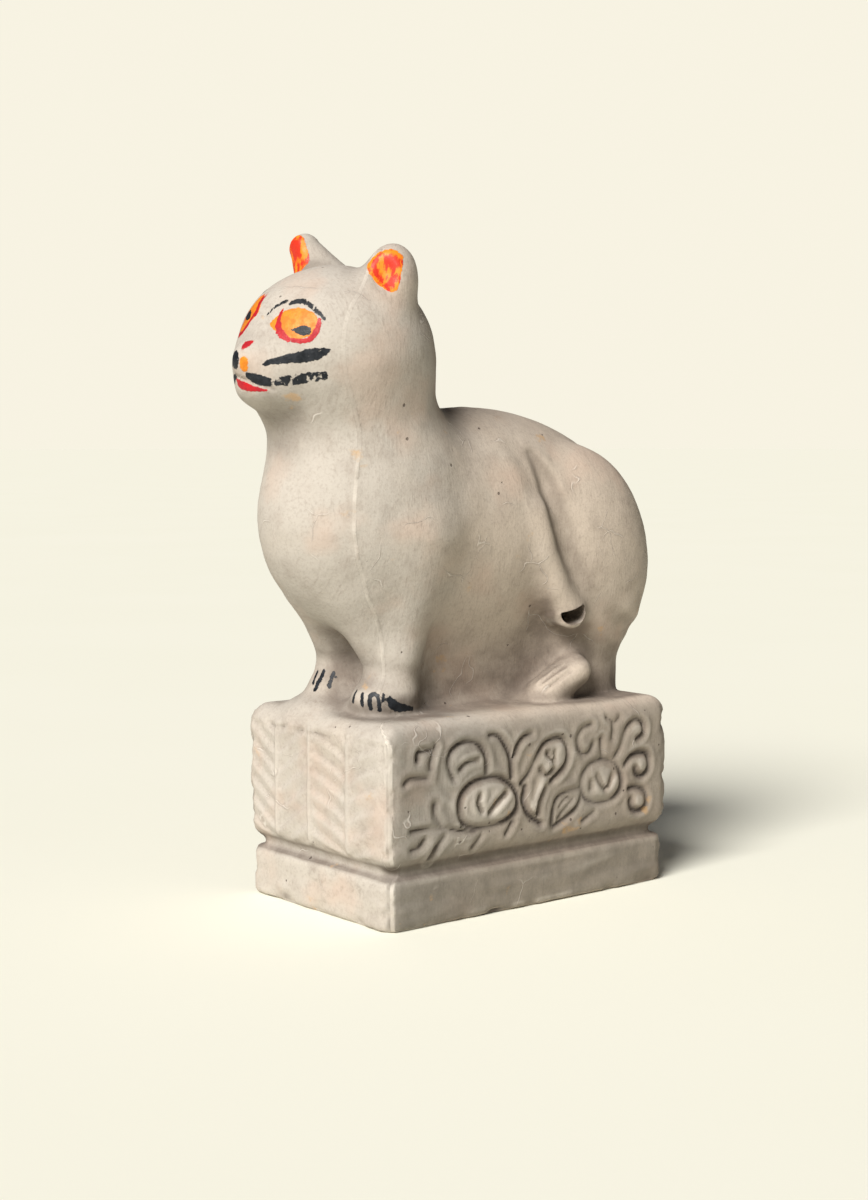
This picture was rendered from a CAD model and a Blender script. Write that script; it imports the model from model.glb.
"""A chalkware cat on a moulded plinth: two hollow plaster castings, the slip between them and the slab below.

Every form is a distance field in millimetres, negative inside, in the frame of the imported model. A field is
turned into a mesh, worked over like wet plaster, cut along the parting of the mould, and painted.
"""

import math

import bpy
import numpy as np
import openvdb
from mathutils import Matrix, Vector, noise


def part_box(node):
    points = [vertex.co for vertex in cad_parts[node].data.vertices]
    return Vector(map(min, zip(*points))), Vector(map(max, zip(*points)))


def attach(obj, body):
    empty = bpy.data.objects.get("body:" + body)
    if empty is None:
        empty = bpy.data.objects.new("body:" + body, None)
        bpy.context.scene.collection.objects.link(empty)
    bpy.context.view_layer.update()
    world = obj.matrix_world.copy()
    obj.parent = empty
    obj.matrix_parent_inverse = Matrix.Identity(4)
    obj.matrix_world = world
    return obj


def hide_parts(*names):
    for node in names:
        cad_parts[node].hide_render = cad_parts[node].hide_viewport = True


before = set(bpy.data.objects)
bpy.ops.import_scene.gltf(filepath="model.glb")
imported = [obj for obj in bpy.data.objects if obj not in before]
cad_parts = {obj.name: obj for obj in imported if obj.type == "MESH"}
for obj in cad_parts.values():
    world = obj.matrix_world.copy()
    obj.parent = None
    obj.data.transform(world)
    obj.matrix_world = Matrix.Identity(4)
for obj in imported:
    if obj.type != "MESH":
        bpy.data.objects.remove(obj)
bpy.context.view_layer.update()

MM = 0.001  # metres in a millimetre

# ---- Driving dimensions, in millimetres ----------------------------------------------------------

SLIP = 1.2  # thickness of the slip in every joint
WALL = 6.0  # thickness of the castings
SKIN_CELL = 1.0  # mesh step of the outer surface
HOLLOW_CELL = 2.6  # mesh step of the hollow inside
TAIL_CELL = 0.8  # mesh step of the tail's broken hole
SLAB_CELL = 1.4
BEDDING_CELL = 0.8
PLINTH_WIDTH = 2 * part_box("left_rear_casting")[1][0] / MM
HOLLOW_LENGTH = 2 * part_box("slab_bedding")[1][1] / MM + 0.6
HOLLOW_WIDTH = PLINTH_WIDTH - 18
PLINTH_LENGTH = HOLLOW_LENGTH + 18
PLINTH_TOP = 74.5
WAIST = 20.0  # height of the groove between the plinth's foot and its block
CORNER = 5.5
GROUND = PLINTH_TOP + 4.0  # where the paws stand
SLAB_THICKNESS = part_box("closing_slab")[1][2] / MM


# ---- Distance fields -----------------------------------------------------------------------------

def egg(centre, radii, pitch=0.0):
    """An ellipsoid, pitched about X so that a positive pitch raises its +Y end."""
    c, s = math.cos(math.radians(-pitch)), math.sin(math.radians(-pitch))

    def field(x, y, z):
        x, dy, dz = x - centre[0], y - centre[1], z - centre[2]
        a, b, d = x / radii[0], (c * dy - s * dz) / radii[1], (s * dy + c * dz) / radii[2]
        near = np.sqrt(a * a + b * b + d * d)
        slope = np.sqrt((a / radii[0]) ** 2 + (b / radii[1]) ** 2 + (d / radii[2]) ** 2)
        return near * (near - 1) / np.maximum(slope, 1e-6)

    return field


def limb(start, end, start_radius, end_radius=None):
    """A capsule whose radius runs from one end's to the other's."""
    end_radius = start_radius if end_radius is None else end_radius
    axis = np.subtract(end, start)
    length2 = float(axis @ axis)

    def field(x, y, z):
        x, y, z = x - start[0], y - start[1], z - start[2]
        t = np.clip((x * axis[0] + y * axis[1] + z * axis[2]) / length2, 0, 1)
        off = np.sqrt((x - t * axis[0]) ** 2 + (y - t * axis[1]) ** 2 + (z - t * axis[2]) ** 2)
        return off - (start_radius + t * (end_radius - start_radius))

    return field


def strand(*stations):
    """A bent limb through several stations, each x, y, z and radius."""
    pieces = [limb(a[:3], b[:3], a[3], b[3]) for a, b in zip(stations, stations[1:])]
    return lambda x, y, z: np.minimum.reduce([piece(x, y, z) for piece in pieces])


def block(centre, half, radius):
    """A box with rounded edges."""

    def field(x, y, z):
        q = [np.abs(v - c) - h + radius for v, c, h in zip((x, y, z), centre, half)]
        outside = np.sqrt(sum(np.maximum(v, 0) ** 2 for v in q))
        return outside + np.minimum(np.maximum.reduce(q), 0) - radius

    return field


def course(width, length, corner, low, high, edge):
    """A rounded rectangle from one height to another, with its upper and lower edges rounded too."""

    def field(x, y, z):
        across, along = np.abs(x) - width / 2 + corner, np.abs(y) - length / 2 + corner
        outline = np.sqrt(np.maximum(across, 0) ** 2 + np.maximum(along, 0) ** 2)
        outline = outline + np.minimum(np.maximum(across, along), 0) - corner + edge
        rise = np.abs(z - (low + high) / 2) - (high - low) / 2 + edge
        outside = np.sqrt(np.maximum(outline, 0) ** 2 + np.maximum(rise, 0) ** 2)
        return outside + np.minimum(np.maximum(outline, rise), 0) - edge

    return field


def pair(field):
    """The same form on both sides of the cat's middle."""
    return lambda x, y, z: field(np.abs(x), y, z)


def joined(a, b, fillet):
    """Two fields joined with a fillet of about this width."""

    def field(x, y, z):
        da, db = a(x, y, z), b(x, y, z)
        h = np.maximum(fillet - np.abs(da - db), 0) / fillet
        return np.minimum(da, db) - h * h * fillet / 4

    return field


def common(a, b, fillet):
    union = joined(lambda *p: -a(*p), lambda *p: -b(*p), fillet)
    return lambda *p: -union(*p)


def carved(a, b, fillet):
    return common(a, lambda *p: -b(*p), fillet)


# ---- The cat -------------------------------------------------------------------------------------

def bulk(inset):
    """The plain round forms, made smaller all round by an inset: 0 gives the outside, WALL the hollow."""

    def inner(*radii):
        return [r - inset for r in radii]

    barrel = joined(egg((0, 2, 143), inner(34, 76, 45)), egg((0, -48, 147), inner(35, 40.5, 43)), 14)
    thigh = pair(egg((18, 47, 134), inner(19.5, 31, 41.5), 25))
    stem = limb((0, 48, 110), (0, 47, 72), *inner(27, 27))
    neck = limb((0, -47, 166), (0, -58, 200), *inner(31.5, 30.5))
    skull = egg((0, -60, 209), inner(34.5, 35, 29))
    return barrel, thigh, stem, joined(neck, skull, 14)


def face(skull):
    muzzle = egg((0, -87, 201), (14, 13, 10))
    chin = egg((0, -88, 193), (12, 11.5, 6))
    nose = egg((0, -98.5, 203.5), (4.5, 4, 4.5))
    return joined(joined(skull, muzzle, 12), joined(chin, nose, 3), 6)


def ears():
    left = carved(egg((24, -53.5, 231), (9.5, 10.5, 14.5), -12), egg((32, -63, 235), (6, 6, 9)), 3)
    right = carved(limb((-20, -46, 228), (-28, -53.5, 247), 13, 6.2), egg((-29, -65, 245), (7, 6, 9)), 3)
    return joined(left, right, 1)


def front_legs():
    shoulder = limb((19, -42, 140), (16, -45, 98), 18, 8.5)
    shin = limb((16, -45, 98), (15, -46, 84), 8.2, 8.5)
    brace = limb((11, -58, 120), (13.5, -49, 94), 12, 7.5)
    legs = pair(joined(joined(shoulder, brace, 5), shin, 5))
    paws = joined(egg((15, -50, GROUND + 1.5), (11, 12, 8)), egg((-13, -47.5, GROUND + 4), (11, 12, 8)), 1)
    return joined(legs, paws, 7)


# Stations of the haunch's furrow, of the soft valley round it and of the tail beside it: x, y, z, radius.
FURROW = (
    (27, 14, 170, 1.2), (30.5, 17.5, 161, 3), (35.5, 20, 147, 4.6), (37.5, 25.3, 130, 5),
    (38.5, 33.3, 116, 5), (37.5, 45.5, 104.5, 4.8), (30, 64, 98, 4.5), (20, 77, 97, 3),
)
VALLEY = (
    (31, 6, 176, 4), (39.5, 15, 158, 7.5), (43.2, 21, 142, 8), (45, 29, 124, 8),
    (45, 40, 108, 7), (38.5, 56, 97, 7), (27, 72, 93, 6),
)
TAIL = (31, 12, 148, 1), (32, 15.5, 132, 2.4), (31.5, 22, 118, 3.9), (30.5, 29, 108, 5.5)


def mound():
    body = block((0, 0, 66), (42, 68, 14), 8)
    swell = egg((-8, 0, 40), (80, 130, GROUND - 40))
    rise = egg((-13, -50, 68), (24, 20, 13.5))
    return joined(common(body, swell, 10), rise, 8)


def cat():
    barrel, thigh, stem, head = bulk(0)
    web = block((0, 5, 98), (17, 50, 30), 10)
    form = joined(joined(barrel, web, 16), joined(face(head), ears(), 7), 10)
    rump = pair(limb((22, 58, 109), (13, 69, 106), 11, 11))
    form = joined(form, joined(thigh, rump, 4), 4)
    form = carved(form, pair(strand(*VALLEY)), 7)
    form = carved(form, pair(strand(*FURROW)), 4)
    form = joined(form, joined(pair(strand(*TAIL)), stem, 6), 10)
    form = joined(form, front_legs(), 7)
    form = joined(form, pair(limb((27, 20, GROUND - 1), (29, 34, GROUND + 7), 7, 6.5)), 6)
    return joined(form, mound(), 8)


def plinth():
    foot = course(PLINTH_WIDTH - 2, PLINTH_LENGTH - 2, CORNER, 0, WAIST - 1, 2.5)
    waist = course(PLINTH_WIDTH - 8, PLINTH_LENGTH - 8, CORNER, WAIST - 6, WAIST + 6, 1)
    relief = course(PLINTH_WIDTH, PLINTH_LENGTH, CORNER, WAIST + 1.5, PLINTH_TOP, 8)
    return joined(joined(foot, waist, 1.5), relief, 1.5)


def hollow():
    barrel, thigh, stem, head = bulk(WALL)
    inside = joined(joined(barrel, joined(thigh, stem, 8), 8), head, 10)
    inside = carved(inside, pair(strand(*((x, y, z, r + 4.5) for x, y, z, r in FURROW))), 3)
    return joined(inside, course(HOLLOW_WIDTH, HOLLOW_LENGTH, CORNER, -6, PLINTH_TOP - 9, 3), 6)


# ---- Meshes --------------------------------------------------------------------------------------

def mesh_of(name, field, low, high, cell):
    """A field's surface as a quad mesh object, in metres."""
    axes = [np.arange(a, b + cell, cell, dtype=np.float32) for a, b in zip(low, high)]
    grid = openvdb.FloatGrid(3 * cell)
    grid.copyFromArray(field(*np.meshgrid(*axes, indexing="ij")).astype(np.float32))
    points, quads = grid.convertToQuads(0.0)
    mesh = bpy.data.meshes.new(name)
    mesh.vertices.add(len(points))
    mesh.vertices.foreach_set("co", ((points * cell + np.array(low)) * MM).ravel())
    mesh.loops.add(4 * len(quads))
    mesh.loops.foreach_set("vertex_index", quads.ravel())
    mesh.polygons.add(len(quads))
    mesh.polygons.foreach_set("loop_start", np.arange(0, 4 * len(quads), 4))
    mesh.update(calc_edges=True)
    mesh.validate()
    piece = bpy.data.objects.new(name, mesh)
    bpy.context.collection.objects.link(piece)
    return piece


def points_of(mesh):
    flat = np.empty(3 * len(mesh.vertices), np.float32)
    mesh.vertices.foreach_get("co", flat)
    return flat.reshape(-1, 3) / MM


def normals_of(mesh):
    flat = np.empty(3 * len(mesh.vertices), np.float32)
    mesh.vertex_normals.foreach_get("vector", flat)
    return flat.reshape(-1, 3)


def cut(piece, tool, operation):
    """The piece with a boolean applied."""
    modifier = piece.modifiers.new("cut", "BOOLEAN")
    modifier.operation = operation
    modifier.solver = "MANIFOLD"
    modifier.object = tool
    bpy.context.view_layer.update()
    evaluated = piece.evaluated_get(bpy.context.evaluated_depsgraph_get())
    mesh = bpy.data.meshes.new_from_object(evaluated)
    piece.modifiers.clear()
    piece.data = mesh
    return piece


def copy_of(piece, name):
    twin = bpy.data.objects.new(name, piece.data.copy())
    twin.data.name = name
    bpy.context.collection.objects.link(twin)
    return twin


def discard(*pieces):
    for piece in pieces:
        bpy.data.objects.remove(piece)


# ---- The parting of the mould --------------------------------------------------------------------

CORNER_ANGLE = math.atan2(PLINTH_LENGTH, PLINTH_WIDTH)
CAT_ANGLE = math.radians(69)


def parting_angle(z):
    t = np.clip((z - PLINTH_TOP + 8) / (GROUND + 14 - PLINTH_TOP), 0, 1)
    return CORNER_ANGLE + (CAT_ANGLE - CORNER_ANGLE) * t * t * (3 - 2 * t)


def from_parting(x, y, z):
    """Distance from the parting, positive towards the cat's left and rear."""
    angle = parting_angle(z)
    return x * np.sin(angle) + y * np.cos(angle)


def slice_of(name, near, far):
    """Everything between two distances from the parting, as a closed mesh."""
    reach = 140
    levels = [-10, *np.linspace(PLINTH_TOP - 8, GROUND + 6, 13), 280]
    ring = [(-reach, near), (0, near), (reach, near), (reach, far), (0, far), (-reach, far)]
    points = []
    for z in levels:
        c, s = math.cos(parting_angle(z)), math.sin(parting_angle(z))
        points += [((along * c + off * s) * MM, (off * c - along * s) * MM, z * MM) for along, off in ring]
    faces = [(0, 5, 4, 1), (1, 4, 3, 2)]
    for level in range(len(levels) - 1):
        for k in range(6):
            a, b = 6 * level + k, 6 * level + (k + 1) % 6
            faces += [(a, b, b + 6), (a, b + 6, a + 6)] if k < 2 else [(a, b, a + 6), (b, b + 6, a + 6)]
    top = 6 * (len(levels) - 1)
    faces += [(top, top + 1, top + 4, top + 5), (top + 1, top + 2, top + 3, top + 4)]
    mesh = bpy.data.meshes.new(name)
    mesh.from_pydata(points, [], faces)
    tool = bpy.data.objects.new(name, mesh)
    bpy.context.collection.objects.link(tool)
    return tool


# ---- Drawing on the surface ----------------------------------------------------------------------

def smoothed(points, steps=3):
    """A smooth curve through the points, as a finer row of points."""
    rows = np.array([points[0], *points, points[-1]], dtype=float)
    out = []
    for a, b, c, d in zip(rows, rows[1:], rows[2:], rows[3:]):
        for t in np.arange(steps) / steps:
            out.append(b + 0.5 * t * (c - a + t * (2 * a - 5 * b + 4 * c - d + t * (3 * (b - c) + d - a))))
    return [*out, rows[-1]]


def stroke(radius, *points):
    """Distance to a drawn stroke. A third number in a point is its own radius."""
    stations = [(*p[:2], 0, p[2] if len(p) > 2 else radius) for p in points]
    path = strand(*(smoothed(stations) if len(stations) > 2 else stations))
    return lambda a, b: path(a, b, 0 * a)


def outline(*points):
    """Distance to a closed outline, negative inside."""
    ring = smoothed([*points, points[0]], 2)

    def distance(a, b):
        nearest = np.full(a.shape, 1e9)
        inside = np.zeros(a.shape, bool)
        for (a0, b0), (a1, b1) in zip(ring, ring[1:]):
            da, db = a1 - a0, b1 - b0
            t = np.clip(((a - a0) * da + (b - b0) * db) / max(da * da + db * db, 1e-9), 0, 1)
            nearest = np.minimum(nearest, np.hypot(a - a0 - t * da, b - b0 - t * db))
            crosses = (b0 > b) != (b1 > b)
            inside ^= crosses & (a < a0 + (b - b0) * da / (db if db else 1e-9))
        return np.where(inside, -nearest, nearest)

    return distance


def oval(centre, radii):
    def distance(a, b):
        near = np.hypot((a - centre[0]) / radii[0], (b - centre[1]) / radii[1])
        return (near - 1) * min(radii)

    return distance


def any_of(*shapes):
    return lambda *p: np.minimum.reduce([shape(*p) for shape in shapes])


def soft(value, width=1.0):
    """1 well inside a shape, 0 outside, with an edge this wide."""
    t = np.clip(0.5 - value / width, 0, 1)
    return t * t * (3 - 2 * t)


def unevenness(points, size, depth=2):
    """Smooth noise between about -1 and 1, with features of this size in millimetres."""
    return np.array([noise.fractal(Vector(p), 1.0, 2.0, depth) for p in (points / size).tolist()])


# ---- The relief on the plinth --------------------------------------------------------------------

# Each drawn as seen from the cat's left, in Y and Z.
SCROLLS = any_of(
    stroke(0.7, (-25, 53), (-25.5, 60), (-29, 64.5), (-35, 66), (-41, 64), (-43.3, 60), (-42, 55),
           (-40.5, 53)),
    stroke(0.7, (-38, 56), (-35, 58.3), (-30, 59)),
    stroke(0.7, (-23.4, 67.2), (-19.5, 66.8), (-15.5, 62.5), (-13.3, 57.7), (-12.6, 50.5)),
    stroke(0.6, (-2.8, 66), (-7, 65), (-10, 62), (-11.6, 58.3)),
    stroke(0.8, (-9.5, 43), (-10, 39), (-13, 35.7), (-18.5, 34), (-25, 33.2), (-32, 34), (-37, 37),
           (-38.5, 42),
           (-37, 47), (-32, 50.5), (-25, 51.7), (-18, 50.8), (-12, 47), (-9.5, 43)),
    stroke(0.9, (-16, 45.3), (-20, 42.5), (-24, 39)),
    stroke(0.7, (-28.7, 45.7), (-29.7, 43), (-27.8, 39.8)),
    stroke(0.7, (-7.8, 47.6), (-3.8, 51.5), (0.2, 57.8), (4.5, 62), (11.3, 63), (15, 60), (15.5, 55),
           (13, 51),
           (7, 46.8)),
    stroke(0.7, (-5.8, 46.6), (-6.8, 41), (-4, 35.5), (2.2, 31.3)),
    stroke(0.6, (5, 58), (8, 54.5), (8.5, 58)),
    stroke(0.6, (1.5, 52), (4.5, 49.5), (7.5, 51.5)),
    stroke(0.6, (4, 45), (1, 39.5), (0.5, 35)),
    stroke(0.7, (7.8, 30), (8.6, 36), (10.8, 40.2), (16, 41.8), (22.8, 41.9), (22.3, 37.5), (18, 33.5),
           (8.3, 29)),
    stroke(0.5, (11, 32), (14, 35.5), (19, 39)),
    stroke(0.5, (11, 36), (13.5, 38.5), (17, 40)),
    stroke(0.8, (28, 66.3), (23.5, 65.4), (20.9, 62), (21.6, 57.8), (24, 55.4), (27, 55.8), (29, 59)),
    stroke(0.7, (33.2, 60.5), (33.9, 53.3)),
    stroke(0.6, (36.6, 68.5), (39.8, 66), (39.3, 59.8)),
    stroke(0.6, (43.6, 68), (40.3, 65.8)),
    stroke(0.8, (41, 52.7), (44.2, 57), (46, 61.5), (49, 65), (53.3, 66.2), (56.3, 64), (56.3, 60.4),
           (53, 58.6)),
    stroke(0.8, (34, 52.6), (27.5, 51), (23.5, 47), (23, 42), (26, 37.5), (32, 35.4), (39, 36),
           (43.8, 39.5),
           (44.6, 44.5), (41, 50), (34, 52.6)),
    stroke(0.9, (28, 44.3), (28, 41.5)),
    stroke(0.8, (31, 46.2), (35.4, 40.6), (38.8, 45.5)),
    stroke(0.8, (46.4, 49), (49.7, 52), (55, 53), (59, 51.5), (59.7, 46.5), (56.3, 43.3), (53, 44.6),
           (52, 47)),
    stroke(0.8, (49, 39.3), (53, 39.3), (57, 37.7), (59, 34.3), (57.4, 30.6), (53, 29.8), (50, 31.8),
           (49.6, 34.7)),
    stroke(0.7, (-49.3, 66), (-51.3, 61), (-51.6, 57.6)),
    stroke(0.7, (-57.5, 61.5), (-57, 64.5), (-51.5, 64.5)),
    stroke(0.8, (-63.4, 53.7), (-60.6, 55.2), (-53, 54.6)),
    stroke(0.9, (-49.7, 44.6), (-49.4, 41), (-46.5, 36.4)),
    stroke(0.6, (-60.6, 36.2), (-54.4, 36.2), (-45, 35.4), (-37, 33.5), (-30, 32.6)),
    stroke(0.9, (-54.4, 32.5), (-57, 30), (-60.2, 29.4)),
    stroke(0.9, (-45, 32.7), (-48.8, 28.9), (-51, 24.6)),
    stroke(0.6, (-27.5, 31), (-31.5, 26.5)),
    stroke(0.6, (-12, 34), (-15.5, 29.5)),
    stroke(0.6, (30, 32.5), (24, 29.5)),
)
RAISED_SCROLLS = any_of(
    oval((-23.8, 42.4), (11, 6)),
    oval((33.8, 44), (7.5, 5)),
    oval((-33.5, 59.5), (5, 2)),
    oval((15.5, 37), (4.5, 1.6)),
    stroke(1.6, (-2, 38), (2.5, 47), (8, 56.5), (11, 59)),
    stroke(0.9, (-47.5, 65.6), (-49.7, 59.5), (-49, 52), (-46, 47), (-40.8, 42), (-38.5, 36.5)),
    oval((54.5, 48), (1.8, 1.6)),
    oval((54, 34.5), (1.8, 1.6)),
    oval((52.5, 62.3), (1.8, 1.4)),
)
RIBS = (-23.5, -2.5, 21, 43)  # upright ribs on the ends of the plinth, in X


def ferns(x, z):
    """Two upright fern stems with a rib on each side, and blades that rise outward from each stem."""
    rib = np.minimum.reduce([np.abs(x - at) for at in RIBS])
    raised = 0.85 * np.exp(-((rib / 1.0) ** 2))
    left, right = np.abs(x - RIBS[0]), np.abs(x - RIBS[2])
    from_stem = np.minimum(left, right)
    climb = np.where(left < right, 0.62 * from_stem, 9.5 * np.sqrt(np.maximum(from_stem, 0) / 19))
    phase = ((z - climb) / 7.2) % 1
    blade = np.minimum(phase / 0.72, (1 - phase) / 0.28)
    field = soft(np.abs(x + 1.5) - 38.5, 3) * soft(rib * -1 + 1.6, 1.2)
    raised = raised + field * 1.05 * (blade - 0.55)
    return raised - 0.4 * np.exp(-(((z - 67.3) / 0.9) ** 2)) + 0.3 * np.exp(-(((z - 69.2) / 0.8) ** 2))


def relief(points, normals):
    """How far the surface stands above the plain form, in millimetres."""
    x, y, z = points.T
    nx, ny, nz = normals.T
    panel = soft(np.abs(z - 45) - 25.5, 3)
    end_panel = soft(np.abs(z - 47.5) - 22, 2.5)
    d = SCROLLS(y, z)
    scroll = -1.5 * soft(d + 0.1, 1.8) + 0.55 * np.exp(-(((d - 2.1) / 1.1) ** 2))
    scroll = scroll + 0.8 * soft(RAISED_SCROLLS(y, z), 4)
    worn = np.clip(0.95 + 0.8 * unevenness(points + 15, 13), 0.6, 1.25)
    height = panel * np.clip((np.abs(nx) - 0.55) / 0.3, 0, 1) * (scroll * worn - 0.15)
    height = height + end_panel * np.clip((np.abs(ny) - 0.55) / 0.3, 0, 1) * ferns(x, z)

    # The squeezed-out slip along the parting.
    seam = np.abs(from_parting(x, y, z) + 0.9 * unevenness(points + 11, 10))
    broken = np.clip(0.7 + 1.2 * unevenness(points, 9), 0, 1.2) * np.clip((205 - z) / 30, 0.15, 1)
    height = height + broken * (0.2 * soft(seam - 0.75, 0.8) + 0.14 * np.exp(-((seam / 2.4) ** 2)))

    toes = np.minimum.reduce([strand(*toe)(x, y, z) for toe in TOES])
    height = height - 0.9 * soft(toes, 1.4)
    height = height - 0.8 * soft(CREASE(azimuth(x, y), z), 1.2)
    height = height + 0.6 * soft(np.where(x > 20, HOLE_RIM(y, z), 9), 1.4)
    height = height + 0.28 * unevenness(points, 24) + 0.12 * unevenness(points + 70, 6.5)
    # Chipped upright corners, a dragged foot and a worn lower edge.
    corner = soft(np.maximum(40.5 - np.abs(x), 66.5 - np.abs(y)), 4) * (z < 74)
    height = height - 1.8 * corner * np.clip(unevenness(points + 30, 8, 3) + 0.1, 0, 1)
    dragged = unevenness(points * np.array((0.45, 0.3, 1.7)) + 50, 9)
    height = height + 0.5 * dragged * np.clip((WAIST - 1 - z) / 4, 0, 1) * (np.abs(nz) < 0.8)
    low_edge = np.clip((5 - z) / 4, 0, 1) * np.clip(unevenness(points - 40, 11), 0, 1)
    return height - 1.6 * low_edge * (np.abs(nz) < 0.8)


TOES = [
    [(side * (x0 + 30), y0, z0, 0.5), (side * (x1 + 30), y1, z1, 0.5)]
    for side in (-1, 1)
    for x0, y0, z0, x1, y1, z1 in (
        (-2.1, 26.5, 88.9, -3.9, 14.4, 82.5), (1.3, 26.8, 88.3, -0.3, 14.8, 81.9),
        (3.9, 27.9, 86.5, 2.4, 15.9, 79.8),
    )
]


# ---- The painted face ----------------------------------------------------------------------------

def azimuth(x, y):
    """The head's own chart: how far round it from the nose, in millimetres, positive to its left."""
    return np.arctan2(x, -(y + 60)) * 35


def at(degrees, z, radius=None):
    """A place on the chart, from an angle round the head."""
    place = (math.radians(degrees) * 35, z)
    return place if radius is None else (*place, radius)


def both_eyes(shape):
    """A shape drawn for the left eye, and its mirror image, set higher and nearer the nose, for the right."""
    return any_of(shape, lambda a, z: shape(math.radians(8.6) * 35 - 1.42 * a, 209.3 + (z - 212.5) / 1.25))


ALMOND = outline(at(12.3, 215.6), at(16, 218.3), at(21, 220.3), at(28, 221.2), at(35, 220.7), at(40.5, 219.2),
                 at(43.5, 216.5), at(42, 212.6), at(37, 210.6), at(30, 210.2), at(23.5, 211.6), at(18, 213))
ORANGE = any_of(both_eyes(ALMOND), stroke(1.3, at(3.9, 200.5), at(4.5, 203.2)))
RED = any_of(
    both_eyes(any_of(
        stroke(1, at(19, 221, 0.4), at(18.3, 217.8, 0.9), at(19.2, 214.5, 1.2), at(22.5, 211.8, 1.3),
               at(27, 210, 0.9)),
        stroke(1, at(29.5, 209.8, 0.8), at(35, 209.4, 0.9), at(40, 210.5, 0.9), at(43, 213.2, 1.1),
               at(44.2, 217, 0.7)),
    )),
    stroke(1, at(-11.5, 226.6, 0.7), at(-7.6, 223.4, 1.1), at(-4.4, 219.6, 0.8)),
    outline(at(0.7, 209.8), at(7, 209.9), at(2.3, 206.3)),
    outline(at(-7, 197), at(-4, 193.8), at(3, 192.4), at(16, 192.2), at(8, 194), at(0, 196)),
)
BLACK = any_of(
    any_of(
        stroke(1, at(27.5, 213.4, 0.3), at(31, 213.3, 0.9), at(35, 213.2, 1.85), at(37, 212.9, 1.7)),
        stroke(1, at(7.3, 219.2, 0.45), at(12, 222, 0.6), at(19.5, 223.8, 0.65)),
        stroke(1, at(23.4, 223, 0.8), at(29, 223.8, 0.9), at(35, 222.9, 0.9), at(41, 220.6, 0.8),
               at(47.5, 217, 0.45)),
    ),
    stroke(1, at(-11.5, 218.6, 0.5), at(-15, 219.4, 1.4), at(-20, 220.2, 1.7), at(-23, 220.2, 1.2)),
    stroke(0.8, at(-24, 229), at(-30, 228), at(-38, 224), at(-44, 220)),
    outline(at(12.3, 200.9), at(17, 203.3), at(25, 204.5), at(33.2, 205.9), at(42, 207), at(51, 206.8),
            at(47, 204), at(40, 202.4), at(33, 201.9), at(25, 201.8), at(18, 201.2)),
    stroke(1, at(5.5, 197.6, 1.2), at(10, 196.3, 1.9), at(16, 195.5, 1.5), at(24, 195.7, 1.6),
           at(32, 196.4, 1.8),
           at(40, 197, 1.7), at(47, 197.4, 1.5)),
    outline(at(-12.3, 200.9), at(-17, 203.3), at(-25, 204.5), at(-33, 206), at(-42, 207), at(-51, 206.8),
            at(-47, 204.4), at(-40, 203), at(-33, 202.7), at(-25, 202.3), at(-18, 201.6)),
    stroke(1, at(-8, 197.6, 1.2), at(-16, 195.6, 1.5), at(-24, 195.7, 1.6), at(-32, 196.4, 1.8),
           at(-46, 197.4, 1.5)),
)
BARE = any_of(
    stroke(0.5, at(18, 194.3), at(19, 197), at(21.5, 196)),
    stroke(0.5, at(27, 194.6), at(29, 197.2), at(32, 198)),
    stroke(0.55, at(37, 197), at(39, 195.2), at(41.5, 197)),
    stroke(0.35, at(44, 198.6), at(45, 196.4)),
    stroke(0.35, at(34, 224), at(35, 222)),
    stroke(0.3, at(39.5, 222.2), at(40.5, 220)),
)
CREASE = stroke(0.35, at(-9, 198.3), at(-3, 197.3), at(8, 195), at(18, 192.8))
HOLE_RIM = stroke(0.5, (22.4, 108.8), (23.4, 105.6), (26.8, 103.3), (30.8, 104), (33.4, 108.4))

NOSE = egg((-1.8, -102.6, 203.4), (3.2, 3.6, 3.4))
# Claws, on charts round the left and the right paw: millimetres round it from its front, and height.
LEFT_CLAWS = any_of(
    stroke(0.85, (-2.8, 83), (-2.8, 79.3)),
    stroke(0.75, (2, 82.8), (2.4, 78.6)),
    stroke(0.8, (5.8, 78), (5.6, 82.4), (8.4, 82.4), (9.2, 77.3)),
    stroke(0.65, (10.8, 83.2), (10.4, 80.8)),
    stroke(1.5, (13, 81.3, 1.2), (14.5, 79, 1.9), (18, 77.8, 1.5), (24, 76.9, 0.7)),
)
RIGHT_CLAWS = any_of(
    stroke(0.75, (-2.2, 88), (-1.6, 83.5)),
    stroke(0.9, (1.8, 88.3), (0.9, 81.8)),
    stroke(0.8, (6.5, 88), (5.8, 83.2)),
    stroke(0.5, (6.5, 87.3), (8, 86.4)),
)


def claws(x, y, z):
    left = LEFT_CLAWS(np.arctan2(x - 15, -(y + 50)) * 11.5, z)
    right = RIGHT_CLAWS(np.arctan2(x + 13, -(y + 47.5)) * 11.5, z)
    return np.where((y < -36) & (z < 92), np.where(x > 1, left, right), 9)


def ear_patch(x, y, z, side, heading, centre, lift):
    """The painted hollow of an ear, in the plane that faces this heading, in degrees from the nose."""
    c, s = math.cos(math.radians(heading)), math.sin(math.radians(heading))
    across = (side * x - centre[0]) * c + (y - centre[1]) * s
    patch = outline((-7.3, 236.5), (-2.5, 243.2), (1.4, 245), (5.8, 240.5), (5.3, 234), (4, 227.8),
                    (0.5, 227.6), (-4.4, 231.6))
    outward = (side * x - centre[0]) * s - (y - centre[1]) * c
    return np.maximum(patch(across, z - lift), -outward - 2.5)


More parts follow.
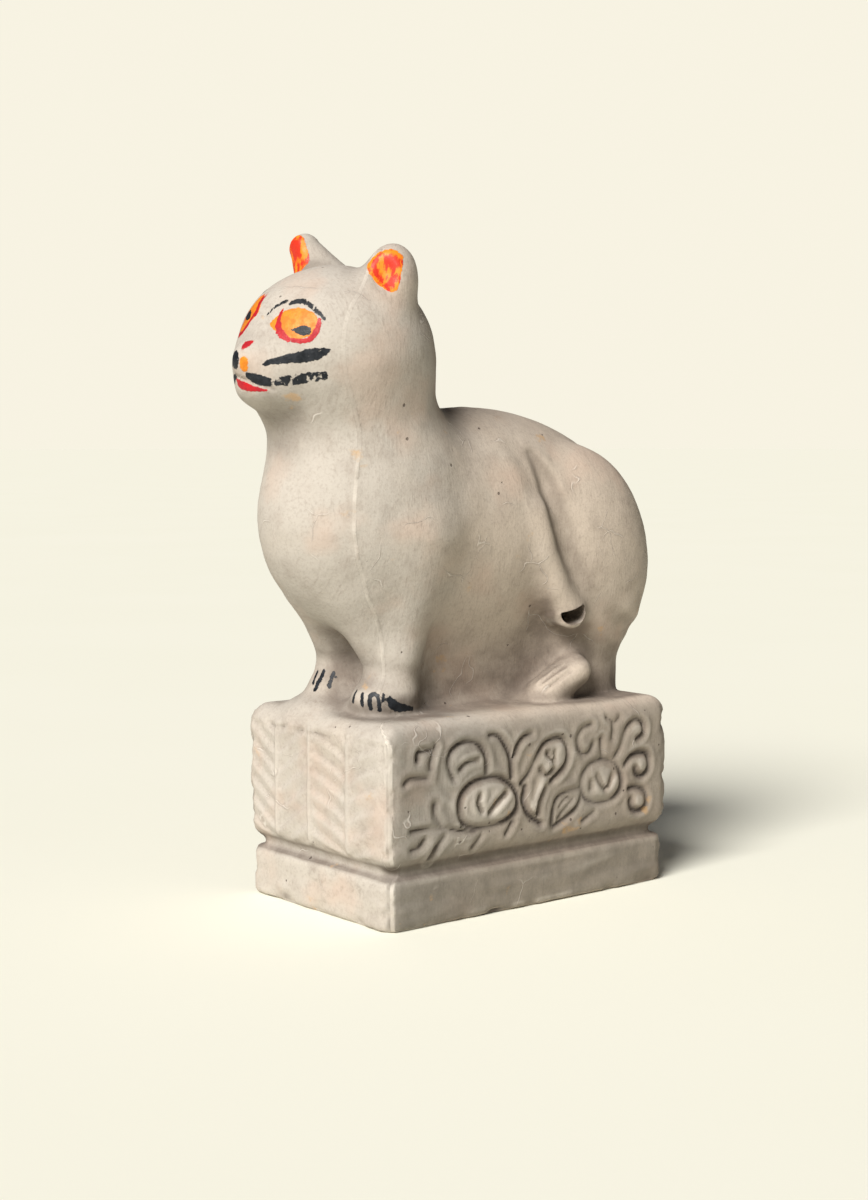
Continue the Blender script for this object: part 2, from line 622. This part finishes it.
def paint_distances(points):
    """Distance to the orange, red and black paint, negative where it lies, in millimetres."""
    x, y, z = points.T
    a = azimuth(x, y)
    on_head = (y < -58) & (z > 186)
    orange = np.where(on_head, ORANGE(a, z), 9)
    orange = np.minimum(orange, ear_patch(x, y, z, 1, 45, (29, -59), 0))
    orange = np.minimum(orange, ear_patch(x, y, z, -1, 3, (26, -59), 8))
    red = np.where(on_head, RED(a, z), 9)
    black = np.where(on_head, np.maximum(BLACK(a, z), -BARE(a, z)), 9)
    black = np.minimum.reduce([black, NOSE(x, y, z), claws(x, y, z)])
    return {"orange": orange, "red": red, "black": black}


# ---- The pieces ----------------------------------------------------------------------------------

def plain_form(x, y, z):
    return joined(cat(), plinth(), 1.5)(x, y, z)


def displaced(piece, heights):
    points = points_of(piece.data) + normals_of(piece.data) * heights[:, None]
    points[:, 2] = np.maximum(points[:, 2], 0)
    piece.data.vertices.foreach_set("co", (points * MM).astype(np.float32).ravel())
    piece.data.update()


def broken_tail(x, y, z):
    """The broken end of the hollow tail on the left flank, open through to the inside."""
    hole = limb((42, 26.5, 108.8), (10, 34, 113), 6, 5)(x, y, z)
    roof = z - 110.2 - 0.28 * (y - 27)
    return np.maximum(hole, roof)


def slab(x, y, z):
    inset = 2 * (SLIP + 0.3)
    body = course(HOLLOW_WIDTH - inset, HOLLOW_LENGTH - inset, CORNER, 0, SLAB_THICKNESS, 0.6)(x, y, z)
    return np.maximum(body, 5 - np.hypot(x, y - 30))


def bedding(x, y, z):
    outside = course(HOLLOW_WIDTH - 0.6, HOLLOW_LENGTH - 0.6, CORNER, 0, SLAB_THICKNESS, 0.6)(x, y, z)
    inset = 2 * (SLIP + 0.3)
    inside = course(HOLLOW_WIDTH - inset, HOLLOW_LENGTH - inset, CORNER, -9, SLAB_THICKNESS + 9, 0.6)(x, y, z)
    return np.maximum(outside, -inside)


def finish_surface(piece):
    """Smooth shading with crisp breaks, and what the material needs to know about each point."""
    mesh = piece.data
    mesh.polygons.foreach_set("use_smooth", np.ones(len(mesh.polygons), bool))
    mesh.set_sharp_from_angle(angle=math.radians(48))
    points, normals = points_of(mesh), normals_of(mesh)
    x, y, z = points.T
    skin = plain_form(x, y, z) > -2.5
    # At the parting a mesh normal is half the cut face's, so that part is taken out of it.
    across = np.stack([np.sin(parting_angle(z)), np.cos(parting_angle(z)), 0 * z], axis=1)
    level = normals - (normals * across).sum(1)[:, None] * across
    length = np.linalg.norm(level, axis=1)[:, None]
    at_cut = (np.abs(from_parting(x, y, z)) < 0.7)[:, None] & (length > 0.3)
    normals = np.where(at_cut, level / np.maximum(length, 0.3), normals)
    values = {name: np.where(skin, np.clip(d, -4, 4), 4) for name, d in paint_distances(points).items()}
    near = plain_form(*(points + 3.5 * normals).T)
    far = plain_form(*(points + 20 * normals).T)
    values["cavity"] = np.where(skin, np.clip(1 - near / 3.5, 0, 1) * 0.65 + np.clip(1 - far / 20, 0, 1), 0.4)
    inside = plain_form(*(points - 4 * normals).T)
    values["edge"] = np.where(skin, np.clip(1 + inside / 4, 0, 1) * np.clip((near - 2.7) / 0.6, 0, 1), 0)
    values["depth"] = np.where(skin, relief(points, normals), 0)
    side = np.clip((np.abs(normals[:, 0]) - 0.45) / 0.35, 0, 1) * soft(z - 72, 8)
    groove = 1.5 * np.exp(-(((z - WAIST - 2) / 2.6) ** 2)) * soft(37 - np.abs(x), 6)
    side = side * (1 + 0.35 * soft(z - 17, 4))
    rear = 0.85 * np.clip((normals[:, 1] - 0.25) / 0.5, 0, 1) * soft(72 - z, 8) * soft(z - 225, 20)
    under = 0.35 * np.clip(-normals[:, 2] / 0.6, 0, 1) * soft(72 - z, 8)
    values["soil"] = np.where(skin, np.maximum.reduce([side, groove, rear, under]), 0)
    for name, value in values.items():
        layer = mesh.attributes.new(name, "FLOAT", "POINT")
        layer.data.foreach_set("value", value.astype(np.float32))
    piece.data.name = piece.name


outer = mesh_of("outer", plain_form, (-53, -112, -5), (53, 92, 262), SKIN_CELL)
displaced(outer, relief(points_of(outer.data), normals_of(outer.data)))
inner = mesh_of("inner", hollow(), (-46, -108, -12), (46, 92, 256), HOLLOW_CELL)
tail_hole = mesh_of("tail_hole", broken_tail, (2, 18, 96), (50, 48, 124), TAIL_CELL)
shell = cut(cut(outer, inner, "DIFFERENCE"), tail_hole, "DIFFERENCE")

cast_left_rear = copy_of(shell, "cast_left_rear")
cast_right_front = copy_of(shell, "cast_right_front")
slip_line = copy_of(shell, "slip_line")
slices = [
    slice_of("rear", SLIP / 2, 140),
    slice_of("front", -140, -SLIP / 2),
    slice_of("joint", -SLIP / 2, SLIP / 2),
]
for piece, tool in zip((cast_left_rear, cast_right_front, slip_line), slices):
    cut(piece, tool, "INTERSECT")
slab_cast = mesh_of("slab_cast", slab, (-40, -66, -4), (40, 66, 12), SLAB_CELL)
slab_slip = mesh_of("slab_slip", bedding, (-40, -66, -4), (40, 66, 12), BEDDING_CELL)
discard(outer, inner, tail_hole, *slices)
for piece in (slab_cast, slab_slip):
    points = points_of(piece.data)
    rough = np.where(points[:, 2] > 2, 1, 0.15)
    displaced(piece, rough * (0.35 * unevenness(points, 12) + 0.15 * unevenness(points, 3)) - 0.1)
for piece in (cast_left_rear, cast_right_front, slip_line, slab_cast, slab_slip):
    finish_surface(piece)


# ---- Materials -----------------------------------------------------------------------------------

class Nodes:
    """A material's node tree, with short ways to add to it."""

    def __init__(self, name):
        self.material = bpy.data.materials.new(name)
        self.material.use_nodes = True
        self.tree = self.material.node_tree
        self.shader = self.tree.nodes["Principled BSDF"]
        self.place = self.add("ShaderNodeTexCoord").outputs["Object"]

    def add(self, kind, inputs=None, **settings):
        node = self.tree.nodes.new(kind)
        for key, value in settings.items():
            setattr(node, key, value)
        for key, value in (inputs or {}).items():
            self.put(value, node.inputs[key])
        return node

    def put(self, value, socket):
        if isinstance(value, bpy.types.NodeSocket):
            self.tree.links.new(value, socket)
        else:
            socket.default_value = value

    def math(self, operation, a, b=0.0, clamp=False):
        return self.add("ShaderNodeMath", {0: a, 1: b}, operation=operation, use_clamp=clamp).outputs[0]

    def mapped(self, value, low, high, to_low=0.0, to_high=1.0):
        """The value's way from low to high, eased, as a way from to_low to to_high."""
        node = self.add("ShaderNodeMapRange", interpolation_type="SMOOTHSTEP")
        for key, number in zip(("Value", "From Min", "From Max", "To Min", "To Max"),
                               (value, low, high, to_low, to_high)):
            self.put(number, node.inputs[key])
        return node.outputs[0]

    def mix(self, factor, a, b):
        node = self.add("ShaderNodeMix", data_type="RGBA")
        self.put(factor, node.inputs[0])
        self.put(a, node.inputs[6])
        self.put(b, node.inputs[7])
        return node.outputs[2]

    def attribute(self, name):
        return self.add("ShaderNodeAttribute", attribute_name=name).outputs["Fac"]

    def noise(self, size, detail=3.0, rough=0.55, where=None):
        """Noise with features of this size in millimetres."""
        inputs = {"Vector": where or self.place, "Scale": 1 / (size * MM), "Detail": detail}
        inputs["Roughness"] = rough
        return self.add("ShaderNodeTexNoise", inputs).outputs["Fac"]

    def turned(self, rotation, scale):
        """The place turned and stretched, for marks that run one way."""
        inputs = {"Vector": self.place, "Rotation": rotation, "Scale": scale}
        return self.add("ShaderNodeMapping", inputs).outputs[0]

    def cells(self, size, feature, where=None):
        inputs = {"Vector": where or self.place, "Scale": 1 / (size * MM), "Randomness": 1.0}
        return self.add("ShaderNodeTexVoronoi", inputs, feature=feature)


def plaster(name, light, body, dirt):
    """Old cast plaster: mottled, handled, pitted by air bubbles, crazed, and painted in places."""
    n = Nodes(name)
    cavity, edge, depth = n.attribute("cavity"), n.attribute("edge"), n.attribute("depth")

    broad, patchy, grain = n.noise(42, 2), n.noise(11, 4, 0.62), n.noise(1.1, 3, 0.6)
    along = n.add("ShaderNodeSeparateXYZ", {0: n.place}).outputs[1]
    mottle = n.math("MULTIPLY", n.math("SUBTRACT", broad, 0.5), 2.2)
    handled = n.math("ADD", n.mapped(along, -62 * MM, 0.0), mottle)
    colour = n.mix(n.mapped(handled, 0.0, 1.0), light, body)
    colour = n.mix(n.mapped(patchy, 0.45, 0.8, 0, 0.34), colour, dirt)
    colour = n.mix(n.mapped(grain, 0.45, 0.75, 0, 0.3), colour, dirt)
    warm = n.noise(27, 3, 0.5, n.turned((0.4, 0.2, 1.0), (1, 1, 1)))
    colour = n.mix(n.mapped(warm, 0.5, 0.72, 0, 0.4), colour, (0.56, 0.40, 0.31, 1))

    hatch = n.noise(0.9, 3, 0.65, n.turned((0.75, 0.4, 0.35), (0.2, 1, 0.2)))
    worked = n.mapped(n.noise(19, 2), 0.42, 0.62)
    colour = n.mix(n.math("MULTIPLY", n.mapped(hatch, 0.48, 0.75, 0, 0.42), worked), colour, dirt)

    soiled = n.math("MULTIPLY", n.attribute("soil"), n.mapped(patchy, 0.2, 0.7, 0.75, 1.0))
    colour = n.mix(n.math("MULTIPLY", soiled, 0.62), colour, (0.17, 0.152, 0.124, 1))
    grimy = n.math("MULTIPLY", n.mapped(cavity, 0.06, 0.68), n.mapped(patchy, 0.25, 0.6, 0.6, 1.0))
    colour = n.mix(n.math("MULTIPLY", grimy, 0.7), colour, (0.12, 0.092, 0.073, 1))
    sunk = n.mapped(depth, -0.45, -1.4, 0, 0.78)
    colour = n.mix(sunk, colour, (0.12, 0.10, 0.085, 1))
    proud = n.mapped(depth, 0.2, 0.7, 0, 0.45)
    colour = n.mix(proud, colour, light)
    rubbed = n.math("MULTIPLY", n.mapped(edge, 0.15, 0.6), n.mapped(patchy, 0.7, 0.4))
    colour = n.mix(n.math("MULTIPLY", rubbed, 0.5), colour, (0.80, 0.74, 0.64, 1))

    bubbles = n.cells(6.5, "F1")
    chance = n.add("ShaderNodeSeparateColor", {0: bubbles.outputs["Color"]}).outputs[0]
    size = n.mapped(chance, 0.72, 1.0, 0.0, 0.085)
    pit = n.mapped(n.math("SUBTRACT", bubbles.outputs["Distance"], size), 0.03, -0.01)
    colour = n.mix(n.math("MULTIPLY", pit, 0.75), colour, (0.10, 0.075, 0.06, 1))

    wander = n.add("ShaderNodeTexNoise", {"Vector": n.place, "Scale": 60.0}).outputs["Color"]
    shift = n.add("ShaderNodeVectorMath", {0: wander, 1: (0.02, 0.02, 0.02)}, operation="MULTIPLY").outputs[0]
    warp = n.add("ShaderNodeVectorMath", {0: n.place, 1: shift}, operation="ADD").outputs[0]
    crack = n.cells(23, "DISTANCE_TO_EDGE", warp).outputs["Distance"]
    here = n.mapped(n.noise(15, 1), 0.56, 0.66)
    scratch = n.math("MULTIPLY", n.mapped(crack, 0.011, 0.0), here)
    beside = n.math("MULTIPLY", here, n.mapped(crack, 0.006, 0.016))
    shadow = n.math("MULTIPLY", n.mapped(crack, 0.03, 0.012), beside)
    colour = n.mix(n.math("MULTIPLY", scratch, 0.45), colour, (0.74, 0.69, 0.62, 1))
    colour = n.mix(n.math("MULTIPLY", shadow, 0.35), colour, dirt)

    stain = n.mapped(n.noise(16, 4, 0.6, n.turned((1.1, 0.3, 0.6), (1, 1, 1.2))), 0.66, 0.74, 0, 0.55)
    colour = n.mix(stain, colour, (0.55, 0.33, 0.14, 1))

    ragged = n.math("MULTIPLY", n.math("SUBTRACT", n.noise(1.6, 4, 0.65), 0.5), 1.6)
    dabs = n.noise(2.6, 3, 0.6)
    paints = {}
    for paint in ("orange", "red", "black"):
        edge_of = n.math("ADD", n.attribute(paint), ragged)
        paints[paint] = n.mapped(edge_of, 0.16, -0.14)
    holes = n.mapped(n.noise(1.9, 4, 0.7), 0.66, 0.7)
    worn_black = n.math("MULTIPLY", paints["black"], n.math("SUBTRACT", 1.0, holes))
    in_ear = n.mapped(n.add("ShaderNodeSeparateXYZ", {0: n.place}).outputs[2], 225.5 * MM, 226.5 * MM)
    orange_tone = n.mix(n.mapped(dabs, 0.4, 0.62), (0.76, 0.25, 0.018, 1), (0.60, 0.185, 0.015, 1))
    red_tone = n.mix(n.mapped(dabs, 0.35, 0.65), (0.50, 0.014, 0.018, 1), (0.38, 0.012, 0.022, 1))
    streaks = n.noise(3.2, 4, 0.65, n.turned((0.2, 0.1, 0.5), (1, 1, 0.45)))
    inner_patch = n.mapped(n.attribute("orange"), -0.2, -2.4, -0.05, 0.06)
    flame = n.mapped(n.math("ADD", streaks, inner_patch), 0.44, 0.56)
    ear_tone = n.mix(flame, (0.87, 0.25, 0.015, 1), (0.62, 0.035, 0.015, 1))
    orange_tone = n.mix(in_ear, orange_tone, ear_tone)
    black_tone = n.mix(n.mapped(dabs, 0.3, 0.7), (0.007, 0.009, 0.012, 1), (0.020, 0.023, 0.028, 1))
    colour = n.mix(paints["orange"], colour, orange_tone)
    colour = n.mix(paints["red"], colour, red_tone)
    colour = n.mix(worn_black, colour, black_tone)
    painted = n.math("MAXIMUM", n.math("MAXIMUM", paints["orange"], paints["red"]), worn_black)

    roughness = n.mapped(patchy, 0.3, 0.7, 0.72, 0.9)
    roughness = n.math("SUBTRACT", roughness, n.mapped(edge, 0.2, 0.6, 0, 0.12))
    gloss = n.mapped(dabs, 0.3, 0.7, 0.38, 0.56)
    rough_mix = n.add("ShaderNodeMix", {0: painted, 2: roughness, 3: gloss}, data_type="FLOAT").outputs[0]
    n.put(rough_mix, n.shader.inputs["Roughness"])
    n.put(colour, n.shader.inputs["Base Color"])
    n.shader.inputs["Specular IOR Level"].default_value = 0.25

    height = n.math("MULTIPLY", grain, 0.10)
    for part, amount in ((patchy, 0.35), (hatch, 0.10), (pit, -0.55), (scratch, 0.16), (painted, 0.10)):
        height = n.math("ADD", height, n.math("MULTIPLY", part, amount))
    bump = n.add("ShaderNodeBump", {"Height": height, "Distance": MM, "Strength": 0.9})
    n.put(bump.outputs[0], n.shader.inputs["Normal"])
    return n.material


SHADE = (0.26, 0.205, 0.168, 1)
castings = plaster("cast_plaster", (0.505, 0.46, 0.40, 1), (0.545, 0.462, 0.377, 1), SHADE)
slip = plaster("plaster_slip", (0.60, 0.55, 0.48, 1), (0.60, 0.525, 0.44, 1), (0.33, 0.265, 0.215, 1))
poured = plaster("poured_plaster", (0.60, 0.56, 0.50, 1), (0.52, 0.48, 0.42, 1), (0.30, 0.26, 0.22, 1))

for piece, node, finish_slot, material in (
    (cast_left_rear, "left_rear_casting", "left_rear_plaster", castings),
    (cast_right_front, "right_front_casting", "right_front_plaster", castings),
    (slip_line, "seam_slip", "slip_plaster", slip),
    (slab_cast, "closing_slab", "slab_plaster", poured),
    (slab_slip, "slab_bedding", "slip_plaster", slip),
):
    piece.data.materials.clear()
    piece.data.materials.append(material)
    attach(piece, "root")
    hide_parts(node)


# ---- The studio ----------------------------------------------------------------------------------

def studio_floor():
    """A wide sheet of pale paper."""
    mesh = bpy.data.meshes.new("studio_floor")
    half = 60
    corners = [(-half, -half, 0), (half, -half, 0), (half, half, 0), (-half, half, 0)]
    mesh.from_pydata(corners, [], [(0, 1, 2, 3)])
    floor = bpy.data.objects.new("studio_floor", mesh)
    bpy.context.collection.objects.link(floor)
    n = Nodes("studio_paper")
    tone = n.mix(n.mapped(n.noise(300, 2), 0.3, 0.7), (0.905, 0.897, 0.775, 1), (0.912, 0.903, 0.785, 1))
    n.put(tone, n.shader.inputs["Base Color"])
    n.shader.inputs["Roughness"].default_value = 0.95
    n.shader.inputs["Specular IOR Level"].default_value = 0.0
    mesh.materials.append(n.material)


def aimed(thing, place, target):
    thing.location = place
    thing.rotation_euler = (Vector(target) - Vector(place)).to_track_quat("-Z", "Y").to_euler()


def studio_light():
    """One broad soft source ahead of the cat, and a dim studio in front of a pale backdrop."""
    light = bpy.data.lights.new("key", "SUN")
    light.energy = 4.75
    light.angle = math.radians(28)
    light.color = (1.0, 0.975, 0.945)
    key = bpy.data.objects.new("key", light)
    bpy.context.collection.objects.link(key)
    aimed(key, (0.30, -0.735, 0.62), (0, 0, 0))

    world = bpy.data.worlds.new("studio")
    world.use_nodes = True
    nodes, links = world.node_tree.nodes, world.node_tree.links
    backdrop = nodes.new("ShaderNodeMix")
    backdrop.data_type = "RGBA"
    backdrop.inputs[6].default_value = (0.085, 0.085, 0.09, 1)
    backdrop.inputs[7].default_value = (0.935, 0.895, 0.765, 1)
    links.new(nodes.new("ShaderNodeLightPath").outputs["Is Camera Ray"], backdrop.inputs[0])
    links.new(backdrop.outputs[2], nodes["Background"].inputs["Color"])
    bpy.context.scene.world = world
    bpy.context.scene.view_settings.view_transform = "Standard"


studio_floor()
studio_light()
camera = bpy.data.objects.new("camera", bpy.data.cameras.new("camera"))
camera.data.lens = 56.9
bpy.context.collection.objects.link(camera)
VIEW_ANGLE = 0.870  # the camera stands this far round the cat from straight in front, towards its left
CAMERA_DISTANCE = 0.7385
aimed(camera, (CAMERA_DISTANCE * math.sin(VIEW_ANGLE), -CAMERA_DISTANCE * math.cos(VIEW_ANGLE), 0.1735),
      (-0.0066, -0.0079, 0.113))
bpy.context.scene.camera = camera
